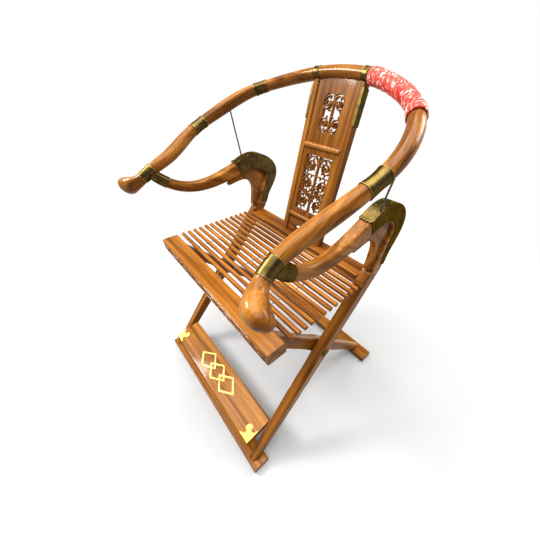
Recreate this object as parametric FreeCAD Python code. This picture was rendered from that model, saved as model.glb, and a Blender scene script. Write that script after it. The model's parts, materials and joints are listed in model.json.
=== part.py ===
"""Folding horseshoe chair: two frames crossed on pivot pins, with a wire-strung slat seat.

Millimetres. +X is the sitter's left, -Y is the front, +Z is up. The origin is on the floor, under
the middle of the chair. The back frame carries the splat and the horseshoe rail, and the seat frame
swings inside it. Outlines above the seat are measured from the post, the point where a front leg's
axis meets the top of the seat.
"""
import FreeCAD, Part
import math
import os
from FreeCAD import Placement, Rotation, Vector

# Seat
seat_height = 537.0
seat_front = -222.7
slat_length = 620.0
slat_count = 13
slat_pitch = 22.2
slat_width = 12.4
slat_thickness = 12.4
slat_corner = 4.5
wire_spread = 192.0
wire_diameter = 2.2
wire_end_gap = 0.6
wire_stub = 5.0
rail_gap = 13.0

# Seat rails and floor runners
front_rail_depth = 54.0
front_rail_thickness = 38.0
rear_rail_depth = 62.0
rear_rail_thickness = 30.0
rear_rail_rise = 4.0
rear_rail_gap = 9.0
rail_rounding = 4.0
tenon_length = 11.0
tenon_depth = 28.0
tenon_thickness = 16.0
runner_depth = 53.0
runner_thickness = 24.0
runner_overhang = 17.0
runner_rounding = 4.0
front_foot_y = -304.7
rear_foot_y = 266.3

# Legs and pivot
leg_inset = 16.0
leg_width = 34.0
leg_top_depth = 46.0
leg_boss_depth = 47.0
leg_waist_depth = 36.0
leg_foot_size = 30.0
leg_edge = 5.0
leg_boss_reach = 42.0
foot_sink = 12.0
rear_leg_width = 30.0
rear_leg_depth = 36.0
rear_leg_boss_depth = 46.0
pivot_diameter = 14.0
pivot_cap_diameter = 26.0
pivot_cap_height = 4.0
washer_thickness = 2.0
washer_diameter = 30.0
running_clearance = 0.05
side_play = 0.4
slat_to_leg = 1.0

# Goose-neck arm supports
neck_width = 36.0
support_tip_size = 31.0
casing_sheet = 1.4
shoe_start = 0.9
bracket_thickness = 18.0
stay_rod_diameter = 4.6
stay_rod_at = 425.0

# Horseshoe rail, with places measured along it from the middle of the back
joint_diameter = 31.0
rail_swell = 6.5
crest_swell = 4.0
knob_diameter = 54.0
knob_hold = 1.3
sleeve_sheet = 1.4
crest_sleeve_length = 22.0
rear_sleeve_length = 44.0
middle_sleeve_length = 52.0
front_sleeve_length = 40.0
crest_sleeve_at = 90.0
rear_joint_at = 300.0
middle_joint_at = 555.0
front_sleeve_at = 790.0
wrap_start = 108.0
wrap_end = 362.0
wrap_thickness = 3.0

# Splat
splat_width = 194.0
stile_width = 22.0
splat_thickness = 22.0
panel_thickness = 10.0
cross_rail_height = 17.0
apron_height = 58.0
carved_panel_height = 218.0
carved_border = 18.0
scroll_band = 4.0
strip_length = 92.0
strip_width = 7.0
strip_sheet = 1.2

# Footrest
footrest_height = 104.0
footrest_depth = 98.0
footrest_thickness = 18.0
footrest_slope = 10.0
footrest_side_gap = 4.0
footrest_pin_diameter = 9.0
footrest_pin_inset = 13.0
footrest_pin_reach = 14.0
footrest_foot_spread = 150.0
footrest_foot_diameter = 22.0
footrest_foot_inset = 12.0
rest_gap = 0.3
lozenge_length = 108.0
lozenge_width = 68.0
lozenge_band = 6.5
lozenge_spacing = 67.0
mount_sheet = 1.2
corner_mount_reach = 46.0

# Lines and planes that several pieces share
leg_x = slat_length / 2 - leg_inset
leg_inner_x = leg_x - leg_width / 2
leg_outer_x = leg_x + leg_width / 2
rear_leg_x = leg_inner_x - washer_thickness - rear_leg_width / 2
front_rail_back = seat_front + front_rail_depth
first_slat_y = front_rail_back + rail_gap + slat_width / 2
last_slat_y = first_slat_y + (slat_count - 1) * slat_pitch
mat_z = seat_height - slat_thickness / 2
rear_rail_front = last_slat_y + slat_width / 2 + rear_rail_gap
rear_rail_top = seat_height + rear_rail_rise
cross = Vector(1, 0, 0)


def post_place():
    """Returns where a front leg's axis meets the seat, with its front face clear of the last slat."""
    place = last_slat_y
    for _ in range(12):
        slope = (place - front_foot_y) / (seat_height - runner_thickness)
        half_depth = leg_top_depth / 2 * math.hypot(1, slope)
        place = last_slat_y + slat_width / 2 + slat_to_leg + slat_thickness * slope + half_depth
    return place


def crossing(low_a, high_a, low_b, high_b):
    """Returns the (y, z) point where two straight legs cross."""
    slope_a = (high_a[0] - low_a[0]) / (high_a[1] - low_a[1])
    slope_b = (high_b[0] - low_b[0]) / (high_b[1] - low_b[1])
    z = (low_b[0] - low_a[0] + slope_a * low_a[1] - slope_b * low_b[1]) / (slope_a - slope_b)
    return low_a[0] + slope_a * (z - low_a[1]), z


front_foot = (front_foot_y, runner_thickness)
post = (post_place(), seat_height)
rear_foot = (rear_foot_y, runner_thickness)
rail_seat = (seat_front + front_rail_depth * 0.6, seat_height - front_rail_thickness / 2)
pivot = crossing(front_foot, post, rear_foot, rail_seat)


def save(node, *solids):
    """Writes one node as a single solid or as a group of solids."""
    shape = solids[0] if len(solids) == 1 else Part.makeCompound(list(solids))
    shape.exportStep("parts/" + node + ".step")


def mirrored(shape):
    return shape.mirror(Vector(0, 0, 0), cross)


def save_pair(name, shape):
    """Writes a left piece and its mirror image on the right."""
    save(name + "_left", shape)
    save(name + "_right", mirrored(shape))


def largest(shape):
    return max(shape.Solids, key=lambda solid: solid.Volume)


def box(x, y, z):
    """Returns a box from its (low, high) limits along each axis."""
    return Part.makeBox(x[1] - x[0], y[1] - y[0], z[1] - z[0], Vector(x[0], y[0], z[0]))


def rod(start, end, diameter):
    return Part.makeCylinder(diameter / 2, start.distanceToPoint(end), start, end - start)


def pin(x0, x1, place, diameter):
    """Returns a cylinder along X at a (y, z) place."""
    return rod(Vector(x0, *place), Vector(x1, *place), diameter)


def rounded_rectangle(width, depth, corner):
    """Returns a closed wire in the XY plane with round corners."""
    radius = min(corner, width / 2 - 0.4, depth / 2 - 0.4)
    bend = radius * (1 - math.sqrt(0.5))
    edges = []
    for turn in range(4):
        x, y = (width / 2, depth / 2) if turn % 2 == 0 else (depth / 2, width / 2)
        side = Part.makeLine(Vector(x, radius - y, 0), Vector(x, y - radius, 0))
        arc = Part.Arc(Vector(x, y - radius, 0), Vector(x - bend, y - bend, 0), Vector(x - radius, y, 0))
        for edge in (side, arc.toShape()):
            edge.Placement = Placement(Vector(), Rotation(Vector(0, 0, 1), 90 * turn))
            edges.append(edge)
    return Part.Wire(edges)


def placed(wire, center, across, along):
    """Turns a wire from the XY plane so that its x runs across and its normal along."""
    wire.Placement = Placement(center, Rotation(across, Vector(), along, "ZXY"))
    return wire


def plank(x, y, z, rounding):
    """Returns a plank whose long edges, along X, are rounded."""
    low = Vector(x[0], (y[0] + y[1]) / 2, (z[0] + z[1]) / 2)
    section = placed(rounded_rectangle(y[1] - y[0], z[1] - z[0], rounding), low, Vector(0, 1, 0), cross)
    return Part.Face(section).extrude(cross * (x[1] - x[0]))


def run(a, b):
    return math.hypot(b[0] - a[0], b[1] - a[1])


def crossed_leg(x, low, high, width, depths):
    """Lofts a leg that is round at its foot and swells into a boss at the pivot.

    Args: the axis's x, its low and high (y, z) ends, the width, and the waist, boss and top depths.
    """
    waist, boss, top = depths
    start = Vector(x, *low)
    along = (Vector(x, *high) - start).normalize()
    to_pivot, to_top = run(low, pivot), run(low, high)

    def section(distance, wide, deep, corner):
        return placed(rounded_rectangle(wide, deep, corner), start + along * distance, cross, along)

    def depth(distance):
        growth = max(0.0, (distance - to_pivot) / (to_top - to_pivot))
        swell = math.exp(-((distance - to_pivot) / leg_boss_reach) ** 2)
        return waist + (top - waist) * growth + (boss - waist) * swell

    foot = section(-foot_sink, leg_foot_size, leg_foot_size, leg_foot_size * 0.45)
    square_from = to_pivot * 0.6
    steps = [square_from + (to_top - square_from) * step / 12 for step in range(13)]
    squares = [section(distance, width, depth(distance), leg_edge) for distance in steps]
    round_part = Part.makeLoft([foot, squares[0]], True, True)
    return round_part.fuse(Part.makeLoft(squares, True, False)).removeSplitter()


def rail_stations():
    """Returns the left half of the horseshoe's centre line, from mid back to the end of the knob."""
    offsets = [(-175, 139, 470), (-70, 94, 447), (16, 17, 412), (54, -80, 362), (48, -188, 312),
               (18, -291, 257), (13, -352, 229), (19, -383, 209), (36, -405, 197), (56, -417, 188), (77, -426, 180)]
    left = [Vector(leg_x + x, post[0] + y, post[1] + z) for x, y, z in offsets]
    return [Vector(0, post[0] + 147, post[1] + 478)] + left


class Rail:
    """The horseshoe's centre line, with places measured along it from the middle of the back."""

    def __init__(self):
        half = rail_stations()
        points = [Vector(-p.x, p.y, p.z) for p in reversed(half[1:])] + half
        curve = Part.BSplineCurve()
        curve.interpolate(Points=points)
        self.edge = curve.toShape()
        self.half = self.edge.Length / 2
        self.neck = front_sleeve_at + front_sleeve_length / 2
        self.knob = self.half - knob_diameter * 0.48

    def radius(self, place):
        """Returns the wood's radius: drawn in at the joints, swelling between them and at the knob."""
        joint, ball = joint_diameter / 2, knob_diameter / 2
        stretches = [(-rear_joint_at, rear_joint_at, crest_swell), (rear_joint_at, middle_joint_at, rail_swell),
                     (middle_joint_at, front_sleeve_at, rail_swell)]
        for start, end, swell in stretches:
            if start <= place <= end:
                return joint + swell / 2 * math.sin(math.pi * (place - start) / (end - start))
        if place > self.knob:
            return math.sqrt(ball ** 2 - (place - self.knob) ** 2)
        share = max(0.0, (place - self.neck) / (self.knob - self.neck))
        return joint + (ball - joint) * (1 - math.cos(math.pi * share)) / 2

    def at(self, place):
        """Returns the point and the direction at a place along the rail."""
        parameter = self.edge.getParameterByLength(self.half + place)
        return self.edge.valueAt(parameter), self.edge.tangentAt(parameter)

    def loft(self, places, grow=0.0):
        """Lofts a stretch of the rail through circles at the places, grown by a sheet's thickness."""
        wires = []
        for place in places:
            center, along = self.at(place)
            if place > self.neck:
                along = (along + self.at(self.neck)[1] * knob_hold).normalize()
            circle = Part.Wire(Part.makeCircle(self.radius(place) + grow))
            wires.append(placed(circle, center, Vector(0, 0, 1).cross(along).normalize(), along))
        return Part.makeLoft(wires, True, False)


def steps(start, end, count):
    return [start + (end - start) * step / count for step in range(count + 1)]


class Support:
    """A goose-neck arm support, lofted from the top of a front leg to the arm's front sleeve."""

    route = [(0, 0, 0), (0, 41, 80), (0, 76, 156), (0, 17, 202), (0, -65, 188), (2, -151, 164),
             (5, -233, 158), (9, -303, 181), (13, -349, 224)]
    depths = [46, 46, 54, 53, 41, 37, 35, 33, support_tip_size]

    def __init__(self):
        points = [Vector(leg_x + x, post[0] + y, post[1] + z) for x, y, z in self.route]
        start = Vector(0, post[0] - front_foot[0], post[1] - front_foot[1])
        self.curve = Part.BSplineCurve()
        self.curve.interpolate(Points=points, InitialTangent=start.normalize() * 0.9,
                               FinalTangent=Vector(0, -0.55, 0.83))
        self.knots = self.curve.getKnots()

    def station(self, share):
        """Returns the centre, tangent, width, depth and corner at a share of the whole route."""
        place = share * (len(self.knots) - 1)
        low = min(int(place), len(self.knots) - 2)
        part = place - low
        parameter = self.knots[low] + part * (self.knots[low + 1] - self.knots[low])
        depth = self.depths[low] + part * (self.depths[low + 1] - self.depths[low])
        roundness = max(0.0, min(1.0, (share - 0.5) / 0.3))
        width = neck_width + (support_tip_size - neck_width) * roundness
        corner = leg_edge + (support_tip_size * 0.46 - leg_edge) * roundness
        return self.curve.value(parameter), self.curve.tangent(parameter)[0], width, depth, corner

    def solid(self, start=0.0, end=1.0, count=33, grow=0.0):
        wires = []
        for step in range(count):
            center, along, width, depth, corner = self.station(start + (end - start) * step / (count - 1))
            section = rounded_rectangle(width + 2 * grow, depth + 2 * grow, corner + grow)
            wires.append(placed(section, center, cross, along))
        return Part.makeLoft(wires, True, False)

    def side_point(self, share, reach, extra=0.0):
        """Returns a point in the support's own plane: reach 0.5 is its outer edge, -0.5 its inner."""
        center, along, _, depth, _ = self.station(share)
        outward = along.cross(cross).normalize()
        return Vector(leg_x, center.y, center.z) + outward * (depth * reach + extra)


def slab(edges, thickness):
    """Extrudes a closed outline in a plane of constant X, centred on that plane."""
    face = Part.Face(Part.Wire(Part.sortEdges(edges)[0]))
    face.translate(cross * (-thickness / 2))
    return face.extrude(cross * thickness)


def smooth(points):
    curve = Part.BSplineCurve()
    curve.interpolate(Points=points)
    return curve.toShape()


def neck_casing(support, wood):
    """A sheet brass casing round the outside of the crook, tapering to a tail at its low end."""
    shares = [step / 32 for step in range(2, 17)]
    outer = [support.side_point(share, 0.5, casing_sheet) for share in shares]
    inner = [support.side_point(share, 0.06 - 0.48 * min(1.0, step / 6)) for step, share in enumerate(shares)]
    edges = [smooth(outer), smooth(inner), Part.makeLine(outer[0], inner[0]), Part.makeLine(outer[-1], inner[-1])]
    return largest(slab(edges, neck_width + 2 * casing_sheet).cut(wood))


def neck_bracket(wood):
    """A thin carved web that fills the crook, with a hooked nose under the arm."""
    free_edge = [(-19, 30), (-12, 72), (-11, 112), (-34, 141), (-71, 143), (-112, 136)]
    buried_edge = [(-88, 184), (17, 200), (70, 160), (41, 80), (5, 20)]
    free_points = [Vector(leg_x, post[0] + y, post[1] + z) for y, z in free_edge]
    buried = [Vector(leg_x, post[0] + y, post[1] + z) for y, z in buried_edge]
    edges = [smooth(free_points)] + Part.makePolygon([free_points[-1]] + buried + [free_points[0]]).Edges
    return largest(slab(edges, bracket_thickness).cut(wood))


def scroll(x, z, radius, side, up, half_turns=4, shrink=0.68):
    """Returns a spiral band in the XZ plane: half circles that shrink and end in a bud."""
    outer, inner = [], []
    size = radius
    for _ in range(half_turns):
        lift = 1 if up else -1
        for edges, reach in ((outer, size + scroll_band / 2), (inner, size - scroll_band / 2)):
            first, last = Vector(x - side * reach, 0, z), Vector(x + side * reach, 0, z)
            edges.append(Part.Arc(first, Vector(x, 0, z + lift * reach), last).toShape())
        x += side * size * (1 - shrink)
        size, side, up = size * shrink, -side, not up
    end = Vector(x - side * size, 0, z)
    caps = [Part.makeLine(outer[k].Vertexes[k].Point, inner[k].Vertexes[k].Point) for k in (0, -1)]
    band = Part.Face(Part.Wire(Part.sortEdges(outer + inner + caps)[0]))
    bud = Part.makeCylinder(scroll_band, panel_thickness, end, Vector(0, 1, 0))
    return band.extrude(Vector(0, panel_thickness, 0)).fuse(bud)


def fused(shapes):
    return shapes[0].multiFuse(shapes[1:]).removeSplitter()


def build_runner(y, legs):
    """A floor runner whose ends overhang the legs, with a mortise for each foot."""
    half = leg_outer_x + runner_overhang
    y_limits = (y - runner_depth / 2, y + runner_depth / 2)
    return plank((-half, half), y_limits, (0, runner_thickness), runner_rounding).cut(Part.makeCompound(legs))


def pair(shape):
    return [shape, mirrored(shape)]


def on_leg(height):
    """Returns the (y, z) place on a front leg's axis at a height."""
    share = (height - front_foot[1]) / (post[1] - front_foot[1])
    return front_foot[0] + share * (post[0] - front_foot[0]), height


def build_pivot():
    """Pin with a domed cap outside, a flat head inside and a washer between the legs."""
    inner_end = rear_leg_x - rear_leg_width / 2 - side_play
    shank = pin(inner_end, leg_outer_x, pivot, pivot_diameter)
    head = pin(inner_end - 3, inner_end, pivot, pivot_cap_diameter * 0.8)
    cap = pin(leg_outer_x, leg_outer_x + pivot_cap_height, pivot, pivot_cap_diameter)
    rim = max(cap.Edges, key=lambda edge: edge.CenterOfMass.x)
    cap = cap.makeFillet(pivot_cap_height * 0.8, [rim])
    ring = pin(leg_inner_x - washer_thickness + side_play, leg_inner_x, pivot, washer_diameter)
    return fused([shank, head, cap]), ring.cut(shank)


def build_frames():
    """Runners, legs, seat rails, pivots and the footrest's bores."""
    front_leg = crossed_leg(leg_x, front_foot, post, leg_width, (leg_waist_depth, leg_boss_depth, leg_top_depth))
    rear_leg = crossed_leg(rear_leg_x, rear_foot, rail_seat, rear_leg_width,
                           (rear_leg_depth, rear_leg_boss_depth, rear_leg_depth))
    save("front_runner", build_runner(front_foot_y, pair(front_leg)))
    save("rear_runner", build_runner(rear_foot_y, pair(rear_leg)))

    pivot_pin, washer = build_pivot()
    save("pivot_pins", *pair(pivot_pin))
    save("pivot_washers", *pair(washer))

    reach = leg_inner_x + tenon_length
    rear_rail = plank((-leg_inner_x, leg_inner_x), (rear_rail_front, rear_rail_front + rear_rail_depth),
                      (rear_rail_top - rear_rail_thickness, rear_rail_top), rail_rounding)
    middle = (post[0], rear_rail_top - rear_rail_thickness / 2)
    tenons = box((-reach, reach), (middle[0] - tenon_depth / 2, middle[0] + tenon_depth / 2),
                 (middle[1] - tenon_thickness / 2, middle[1] + tenon_thickness / 2))
    front_wires, rear_wires = seat_wires()
    rear_rail = rear_rail.fuse(tenons).removeSplitter().cut(Part.makeCompound(rear_wires))

    half = slat_length / 2
    front_rail = plank((-half, half), (seat_front, front_rail_back),
                       (seat_height - front_rail_thickness, seat_height), rail_rounding)
    save("front_seat_rail", front_rail.cut(Part.makeCompound(pair(rear_leg) + front_wires)))

    footrest_bore = pin(leg_inner_x - 1, leg_inner_x + footrest_pin_reach + 1, on_leg(footrest_height),
                        footrest_pin_diameter + 2 * running_clearance)
    save_pair("front_leg", front_leg.cut(pivot_pin).cut(rear_rail).cut(footrest_bore))
    save_pair("rear_leg", rear_leg.cut(pin(0, leg_x, pivot, pivot_diameter + 2 * running_clearance)))
    return rear_rail, front_leg


def build_horseshoe(rail):
    """Five lengths of rail under brass sleeves; returns the wood of the crest, a side and an arm."""
    knob_end = [rail.knob + (rail.half - rail.knob - 0.05) * math.sin(turn) for turn in steps(0, math.pi / 2, 5)]
    crest = rail.loft(steps(-rear_joint_at, rear_joint_at, 36))
    side = rail.loft(steps(rear_joint_at, middle_joint_at, 16))
    arm = rail.loft(steps(middle_joint_at, rail.neck, 16) + steps(rail.neck, rail.knob, 5)[1:] + knob_end[1:])
    wood = [crest, side, arm]

    def sleeve(place, length):
        return rail.loft(steps(place - length / 2, place + length / 2, 4), sleeve_sheet).cut(wood)

    sleeves = {"crest_sleeves": sleeve(crest_sleeve_at, crest_sleeve_length),
               "rear_sleeves": sleeve(rear_joint_at, rear_sleeve_length),
               "middle_sleeves": sleeve(middle_joint_at, middle_sleeve_length),
               "front_sleeves": sleeve(front_sleeve_at, front_sleeve_length)}
    for name, ring in sleeves.items():
        save(name, *pair(ring))
    wrap = rail.loft(steps(wrap_start, wrap_end, 15), sleeve_sheet + wrap_thickness)
    save("arm_wrap", wrap.cut(wood).cut(sleeves["rear_sleeves"]))
    save("crest_back", crest)
    save_pair("crest_side", side)
    save_pair("arm_front", arm)
    return crest, side, arm, sleeves


def build_necks(rail, side, arm, front_sleeve, front_leg, rear_rail):
    """Arm supports with their carved webs, brass casings, shoes and stay rods."""
    support = Support()
    wood = largest(support.solid().cut([front_leg, rear_rail]).cut([arm, front_sleeve]))
    casing = neck_casing(support, wood)
    web = neck_bracket(Part.makeCompound([wood, front_leg]))
    shoe = support.solid(shoe_start, 1.0, 4, casing_sheet).cut([wood, arm, front_sleeve])
    foot = Vector(leg_x + 4, post[0] - 32, post[1] + 192)
    stay = rod(foot, rail.at(stay_rod_at)[0], stay_rod_diameter)
    stay = largest(stay.cut([wood, casing, side]))
    save_pair("arm_support", wood)
    save_pair("neck_bracket", web)
    save_pair("neck_casing", casing)
    save("support_shoes", *pair(largest(shoe)))
    save("stay_rods", *pair(stay))


class Splat:
    """The back panel, drawn upright on its foot and then leaned back from the rear rail to the crest.

    In its own frame x is across, z is up the panel and y is its depth, with 0 at its front face.
    """

    def __init__(self, rail):
        crown = rail.at(0)[0]
        self.foot = Vector(0, rear_rail_front + rear_rail_depth / 2 - splat_thickness / 2, rear_rail_top)
        rise, back = crown.z - self.foot.z, crown.y - splat_thickness / 2 - self.foot.y
        self.height = math.hypot(rise, back)
        self.lean = Placement(self.foot, Rotation(cross, -math.degrees(math.atan2(back, rise))))
        self.inside = splat_width / 2 - stile_width
        self.lower_rail = apron_height
        self.carving = self.lower_rail + cross_rail_height
        self.upper_rail = self.carving + carved_panel_height
        self.top_panel = self.upper_rail + cross_rail_height
        self.panel_front = (splat_thickness - panel_thickness) / 2

    def stood(self, shape):
        shape.Placement = self.lean.multiply(shape.Placement)
        return shape

    def board(self, half_width, bottom, top, thickness=panel_thickness):
        front = (splat_thickness - thickness) / 2
        return box((-half_width, half_width), (front, front + thickness), (bottom, top))

    def cutter(self, outline):
        """Extrudes a closed wire in the XZ plane through the whole depth."""
        face = Part.Face(outline)
        face.translate(Vector(0, -splat_thickness, 0))
        return face.extrude(Vector(0, 3 * splat_thickness, 0))

    def stile(self):
        limits = (self.inside, splat_width / 2)
        section = placed(rounded_rectangle(stile_width, splat_thickness, rail_rounding),
                         Vector(sum(limits) / 2, splat_thickness / 2, -tenon_length), cross, Vector(0, 0, 1))
        return Part.Face(section).extrude(Vector(0, 0, self.height + tenon_length))

    def cross_rail(self, bottom):
        return plank((-self.inside, self.inside), (-2, splat_thickness), (bottom, bottom + cross_rail_height),
                     cross_rail_height * 0.4)

    def apron(self):
        """A board with a cloud-shaped cut-out that opens on the rear rail."""
        lobe = apron_height * 0.3
        reach, rise = lobe * 1.3, lobe * 0.9
        cloud = [Part.makeCylinder(lobe, 3 * splat_thickness, Vector(x, -splat_thickness, z), Vector(0, 1, 0))
                 for x, z in ((-reach, rise), (0, rise + lobe * 0.6), (reach, rise))]
        gap = box((-reach - lobe * 0.8, reach + lobe * 0.8), (-splat_thickness, 2 * splat_thickness), (-1, rise))
        return self.board(self.inside, 0, self.lower_rail).cut(fused(cloud + [gap]))

    def carved_frame(self):
        hole = rounded_rectangle(2 * (self.inside - carved_border), carved_panel_height - 2 * carved_border, 2)
        middle = Vector(0, 0, self.carving + carved_panel_height / 2)
        opening = self.cutter(placed(hole, middle, cross, Vector(0, -1, 0)))
        return self.board(self.inside, self.carving, self.upper_rail, panel_thickness + 4).cut(opening)

    def carving_tiers(self):
        """Paired scrolls in tiers, joined to each other and to the frame round them."""
        half = self.inside - carved_border
        bottom, top = self.carving + carved_border, self.upper_rail - carved_border
        tiers = max(2, round((top - bottom) / (half * 1.05)))
        tier = (top - bottom) / tiers
        radius = (half - scroll_band) / 2
        bands = []
        for level in range(tiers):
            z = bottom + tier * (level + 0.5)
            for side in (-1, 1):
                bands.append(scroll(side * half / 2, z, radius, side, level % 2 == 0))
        stem = self.board(scroll_band / 2, bottom, top)
        veins = [self.board(half, bottom + tier * level - scroll_band / 2, bottom + tier * level + scroll_band / 2)
                 for level in range(1, tiers)]
        field = self.board(half, bottom, top)
        pieces = [self.shifted(band) for band in bands] + [stem] + veins
        return fused(pieces).common(field)

    def shifted(self, band):
        band.translate(Vector(0, self.panel_front, 0))
        return band

    def lobed_opening(self):
        """A four-lobed opening in the top panel."""
        middle = (self.top_panel + self.height - joint_diameter / 2) / 2
        lobe = self.inside * 0.32
        reach_x, reach_z = self.inside * 0.24, self.inside * 0.38
        discs = [Part.makeCylinder(lobe, 3 * splat_thickness, Vector(x, -splat_thickness, middle + z), Vector(0, 1, 0))
                 for x in (-reach_x, reach_x) for z in (-reach_z, reach_z)]
        core = box((-reach_x - lobe * 0.7, reach_x + lobe * 0.7), (-splat_thickness, 2 * splat_thickness),
                   (middle - reach_z, middle + reach_z))
        return fused(discs + [core]), middle, lobe, reach_x, reach_z

    def tracery(self, opening, middle, lobe, reach_x, reach_z):
        """Scrolls that curl from the rim of the lobed opening and meet in its middle."""
        bands = []
        for side in (-1, 1):
            for up in (False, True):
                z = middle + (reach_z if up else -reach_z) * 0.9
                bands.append(self.shifted(scroll(side * reach_x, z, lobe * 0.92, side, up, 4, 0.62)))
        tie = self.board(scroll_band / 2, middle - reach_z, middle + reach_z)
        return fused(bands + [tie]).common(opening)

    def strip(self):
        """A sheet brass edging folded round the upper outer corner of a stile."""
        outside = splat_width / 2
        top = self.height - joint_diameter
        limits = (top - strip_length, top)
        blank = box((outside - strip_width, outside + strip_sheet), (-strip_sheet, splat_thickness), limits)
        return blank.cut(self.stile())


def build_splat(rail, crest_wood, crest_sleeve, rear_rail):
    """Stiles, cross rails and panels, cut to the crest above and the rear rail below."""
    splat = Splat(rail)
    crest = Part.makeCompound([crest_wood, crest_sleeve])
    stile = splat.stood(splat.stile()).cut(crest)
    opening, *lobes = splat.lobed_opening()
    panel = splat.board(splat.inside, splat.top_panel, splat.height, panel_thickness + 2).cut(opening)
    save_pair("splat_stile", largest(stile))
    save("splat_strips", *pair(splat.stood(splat.strip()).cut(crest)))
    save("splat_lower_rail", splat.stood(splat.cross_rail(splat.lower_rail)))
    save("splat_upper_rail", splat.stood(splat.cross_rail(splat.upper_rail)))
    save("splat_apron", largest(splat.stood(splat.apron()).cut(rear_rail)))
    save("splat_carved_frame", splat.stood(splat.carved_frame()))
    save("splat_carving", splat.stood(splat.carving_tiers()))
    save("splat_top_panel", largest(splat.stood(panel).cut(crest)))
    save("splat_tracery", splat.stood(splat.tracery(opening, *lobes)))
    return rear_rail.cut(Part.makeCompound(pair(stile)))


def seat_wires(grow=0.0):
    """Returns the short wires that hold the first slat, and the long ones that the others hang on."""
    meeting = first_slat_y + slat_width / 2 + wire_stub
    runs = ((front_rail_back - wire_stub, meeting), (meeting + wire_end_gap, rear_rail_front + wire_stub))
    places = (-wire_spread, 0.0, wire_spread)
    return [[rod(Vector(x, start, mat_z), Vector(x, end, mat_z), wire_diameter + grow) for x in places]
            for start, end in runs]


def build_mat():
    """Slats on wires. The first and the last slat are held fast, and the others are free to drop."""
    front_wires, rear_wires = seat_wires()
    save("seat_wires_front", *front_wires)
    save("seat_wires_rear", *rear_wires)
    loose = seat_wires(2 * running_clearance)
    half = slat_length / 2
    for number in range(slat_count):
        y = first_slat_y + number * slat_pitch
        slat = plank((-half, half), (y - slat_width / 2, y + slat_width / 2),
                     (seat_height - slat_thickness, seat_height), slat_corner)
        held = number in (0, slat_count - 1)
        for wires in seat_wires() if held else loose:
            slat = slat.cut(Part.makeCompound(wires))
        save("seat_slat_%02d" % (number + 1), slat)


def lozenge(x, grow):
    long_half, short_half = lozenge_length / 2 + grow * 1.88, lozenge_width / 2 + grow * 1.18
    corners = [Vector(x - long_half, 0, 0), Vector(x, -short_half, 0), Vector(x + long_half, 0, 0),
               Vector(x, short_half, 0)]
    return Part.Face(Part.makePolygon(corners + corners[:1])).extrude(Vector(0, 0, mount_sheet))


def corner_mount(half_width, front):
    """A sheet brass mount on a front corner of the footrest, ending in a cloud head."""
    reach = corner_mount_reach
    corners = [Vector(0, 0, 0), Vector(-reach, 0, 0), Vector(0, reach, 0)]
    blank = Part.Face(Part.makePolygon(corners + corners[:1])).extrude(Vector(0, 0, mount_sheet))
    head = Part.makeCylinder(reach * 0.29, mount_sheet, Vector(-reach * 0.62, reach * 0.62, 0))
    bites = [Part.makeCylinder(reach * 0.14, mount_sheet, Vector(-x * reach, y * reach, 0))
             for x, y in ((0.78, 0.3), (0.3, 0.78))]
    plate = blank.fuse(head).cut(Part.makeCompound(bites)).removeSplitter()
    plate.translate(Vector(half_width, front, 0))
    return plate


def build_footrest():
    """A board on two pins in the front legs, with its front feet on the runner."""
    axle = on_leg(footrest_height)
    half = leg_inner_x - footrest_side_gap
    back, front = footrest_pin_inset, footrest_pin_inset - footrest_depth
    top = footrest_thickness / 2
    tilt = Placement(Vector(0, *axle), Rotation(cross, footrest_slope))

    def stood(shape):
        shape.Placement = tilt.multiply(shape.Placement)
        return shape

    pins = [stood(pin(half - footrest_pin_reach, leg_inner_x + footrest_pin_reach, (0, 0), footrest_pin_diameter))]
    pins.append(mirrored(pins[0]))
    board = stood(plank((-half, half), (front, back), (-top, top), rail_rounding))
    feet = []
    for side in (-1, 1):
        crown = tilt.multVec(Vector(side * footrest_foot_spread, front + footrest_foot_inset, 0))
        sole = Vector(crown.x, crown.y, runner_thickness + rest_gap)
        feet.append(rod(sole, crown, footrest_foot_diameter).cut(board))
    middle = (front + back) / 2
    rings = [lozenge(x, 0).cut(lozenge(x, -lozenge_band)) for x in (-lozenge_spacing, 0, lozenge_spacing)]
    interlace = fused(rings)
    interlace.translate(Vector(0, middle, top))
    corners = pair(corner_mount(half, front + rail_rounding))
    for plate in corners:
        plate.translate(Vector(0, 0, top))
    save("footrest_board", board.cut(Part.makeCompound(pins)))
    save("footrest_pins", *pins)
    save("footrest_feet", *feet)
    save("lozenge_mount", stood(interlace))
    save("corner_mounts", *[stood(plate) for plate in corners])


os.makedirs("parts", exist_ok=True)
rear_rail, front_leg = build_frames()
horseshoe = Rail()
crest, side, arm, sleeves = build_horseshoe(horseshoe)
build_necks(horseshoe, side, arm, sleeves["front_sleeves"], front_leg, rear_rail)
save("rear_seat_rail", build_splat(horseshoe, crest, sleeves["crest_sleeves"], rear_rail))
build_mat()
build_footrest()
print("pivot", pivot, "post", post, "rail half length", horseshoe.half)
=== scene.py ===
"""Looks of a folding horseshoe chair: its finishes, brass beads and nails, carving, wires and cloth wrap."""
import json
import logging
import math
from dataclasses import dataclass
from enum import Enum

import bpy
import numpy as np
from mathutils import Euler, Matrix, Vector
from mathutils.bvhtree import BVHTree

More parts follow.
